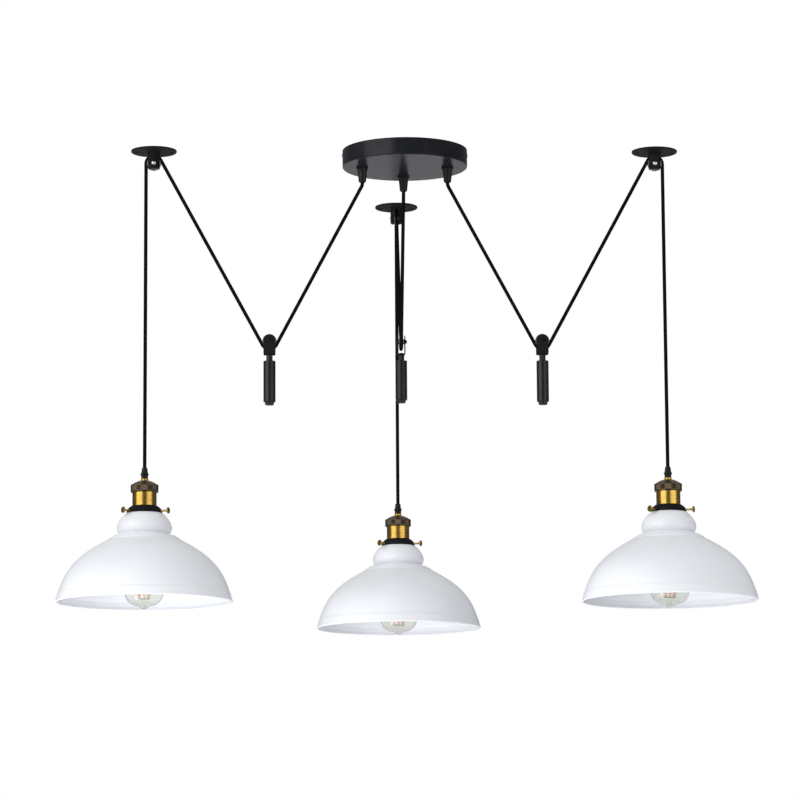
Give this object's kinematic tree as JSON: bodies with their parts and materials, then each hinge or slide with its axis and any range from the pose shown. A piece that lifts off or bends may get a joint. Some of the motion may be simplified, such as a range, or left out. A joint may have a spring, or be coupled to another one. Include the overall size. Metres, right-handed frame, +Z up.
{
  "type": "pendant lamp",
  "caption": "Rise and fall pendant: round canopy, bell shades on cords that run over ceiling pulleys, each balanced by a weight in its cord's loop.",
  "frame": {"origin": "centre of the canopy in the ceiling plane, midway between the two ceiling screws of its strap", "axes": "+Z up to the ceiling, +X from the canopy to the right-hand lamp, +Y to the lamp behind"},
  "size_m": [1.152, 0.753, 0.7685],
  "materials": {
    "canopy_paint": "satin",
    "zinc": "satin",
    "black_metal": "satin",
    "block": "satin",
    "black_plastic": "satin",
    "bright_steel": "polished",
    "dark_steel": "satin",
    "cord": "matte",
    "weight_paint": "satin",
    "bronze": "satin",
    "brass": "satin",
    "ceramic": "satin",
    "white_enamel": "satin",
    "glass": "polished",
    "bulb_cap": "satin",
    "filament": "satin"
  },
  "bodies": {
    "root": {"canopy_cover": "canopy_paint", "canopy_bracket": "zinc", "cover_screws": "black_metal", "terminal_block": "block", "canopy_grips": "black_plastic", "grip_nuts": "black_plastic", "ceiling_plates": "black_metal", "pulley_housings": "black_metal", "pulley_pins": "bright_steel", "flex_left": "cord", "flex_middle": "cord", "flex_right": "cord"},
    "lamp_left": {"lamp_grip_left": "black_plastic", "socket_cap_left": "bronze", "socket_collar_left": "bronze", "socket_shell_left": "brass", "lamp_insert_left": "ceramic", "shade_holder_left": "black_metal", "holder_screws_left": "brass", "shade_left": "white_enamel", "bulb_glass_left": "glass", "bulb_base_left": "bulb_cap", "bulb_filament_left": "filament"},
    "yoke_left": {"weight_yoke_left": "black_metal", "weight_axle_left": "black_metal"},
    "weight_left": {"weight_left": "weight_paint"},
    "yoke_wheel_left": {"weight_wheel_left": "dark_steel"},
    "pulley_wheel_left": {"ceiling_wheel_left": "dark_steel"},
    "lamp_middle": {"lamp_grip_middle": "black_plastic", "socket_cap_middle": "bronze", "socket_collar_middle": "bronze", "socket_shell_middle": "brass", "lamp_insert_middle": "ceramic", "shade_holder_middle": "black_metal", "holder_screws_middle": "brass", "shade_middle": "white_enamel", "bulb_glass_middle": "glass", "bulb_base_middle": "bulb_cap", "bulb_filament_middle": "filament"},
    "yoke_middle": {"weight_yoke_middle": "black_metal", "weight_axle_middle": "black_metal"},
    "weight_middle": {"weight_middle": "weight_paint"},
    "yoke_wheel_middle": {"weight_wheel_middle": "dark_steel"},
    "pulley_wheel_middle": {"ceiling_wheel_middle": "dark_steel"},
    "lamp_right": {"lamp_grip_right": "black_plastic", "socket_cap_right": "bronze", "socket_collar_right": "bronze", "socket_shell_right": "brass", "lamp_insert_right": "ceramic", "shade_holder_right": "black_metal", "holder_screws_right": "brass", "shade_right": "white_enamel", "bulb_glass_right": "glass", "bulb_base_right": "bulb_cap", "bulb_filament_right": "filament"},
    "yoke_right": {"weight_yoke_right": "black_metal", "weight_axle_right": "black_metal"},
    "weight_right": {"weight_right": "weight_paint"},
    "yoke_wheel_right": {"weight_wheel_right": "dark_steel"},
    "pulley_wheel_right": {"ceiling_wheel_right": "dark_steel"}
  },
  "joints": [
    {"name": "lift_left", "type": "slide", "parent": "root", "child": "lamp_left", "axis": [0, 0, 1], "range_m": [-0.2, 0.35], "deforming": ["flex_left"]},
    {"name": "yoke_travel_left", "type": "slide", "parent": "root", "child": "yoke_left", "axis": [0, 0, 1], "range_m": [-0.19845, 0.1134]},
    {"name": "pulley_turn_left", "type": "hinge", "parent": "root", "child": "pulley_wheel_left", "pos_m": [-0.418, 0, -0.022], "axis": [0, 1, 0], "continuous": true},
    {"name": "yoke_wheel_turn_left", "type": "hinge", "parent": "yoke_left", "child": "yoke_wheel_left", "pos_m": [-0.226, 0, -0.322], "axis": [0, 1, 0], "continuous": true},
    {"name": "weight_swivel_left", "type": "hinge", "parent": "yoke_left", "child": "weight_left", "pos_m": [-0.226, 0, -0.346], "axis": [0, 0, 1], "continuous": true},
    {"name": "lift_middle", "type": "slide", "parent": "root", "child": "lamp_middle", "axis": [0, 0, 1], "range_m": [-0.2, 0.35], "deforming": ["flex_middle"]},
    {"name": "yoke_travel_middle", "type": "slide", "parent": "root", "child": "yoke_middle", "axis": [0, 0, 1], "range_m": [-0.2149, 0.1228]},
    {"name": "pulley_turn_middle", "type": "hinge", "parent": "root", "child": "pulley_wheel_middle", "pos_m": [0, 0.45, -0.022], "axis": [1, 0, 0], "continuous": true},
    {"name": "yoke_wheel_turn_middle", "type": "hinge", "parent": "yoke_middle", "child": "yoke_wheel_middle", "pos_m": [0, 0.24, -0.282], "axis": [1, 0, 0], "continuous": true},
    {"name": "weight_swivel_middle", "type": "hinge", "parent": "yoke_middle", "child": "weight_middle", "pos_m": [0, 0.24, -0.306], "axis": [0, 0, 1], "continuous": true},
    {"name": "lift_right", "type": "slide", "parent": "root", "child": "lamp_right", "axis": [0, 0, 1], "range_m": [-0.2, 0.35], "deforming": ["flex_right"]},
    {"name": "yoke_travel_right", "type": "slide", "parent": "root", "child": "yoke_right", "axis": [0, 0, 1], "range_m": [-0.19845, 0.1134]},
    {"name": "pulley_turn_right", "type": "hinge", "parent": "root", "child": "pulley_wheel_right", "pos_m": [0.418, 0, -0.022], "axis": [0, 1, 0], "continuous": true},
    {"name": "yoke_wheel_turn_right", "type": "hinge", "parent": "yoke_right", "child": "yoke_wheel_right", "pos_m": [0.226, 0, -0.322], "axis": [0, 1, 0], "continuous": true},
    {"name": "weight_swivel_right", "type": "hinge", "parent": "yoke_right", "child": "weight_right", "pos_m": [0.226, 0, -0.346], "axis": [0, 0, 1], "continuous": true}
  ],
  "couplings": [
    {"joint": "yoke_travel_left", "follows": "lift_left", "ratio": -0.567},
    {"joint": "pulley_turn_left", "follows": "lift_left", "rad_per_m": 76.923},
    {"joint": "yoke_wheel_turn_left", "follows": "lift_left", "rad_per_m": -38.462},
    {"joint": "yoke_travel_middle", "follows": "lift_middle", "ratio": -0.614},
    {"joint": "pulley_turn_middle", "follows": "lift_middle", "rad_per_m": 76.923},
    {"joint": "yoke_wheel_turn_middle", "follows": "lift_middle", "rad_per_m": -38.462},
    {"joint": "yoke_travel_right", "follows": "lift_right", "ratio": -0.567},
    {"joint": "pulley_turn_right", "follows": "lift_right", "rad_per_m": -76.923},
    {"joint": "yoke_wheel_turn_right", "follows": "lift_right", "rad_per_m": 38.462}
  ]
}
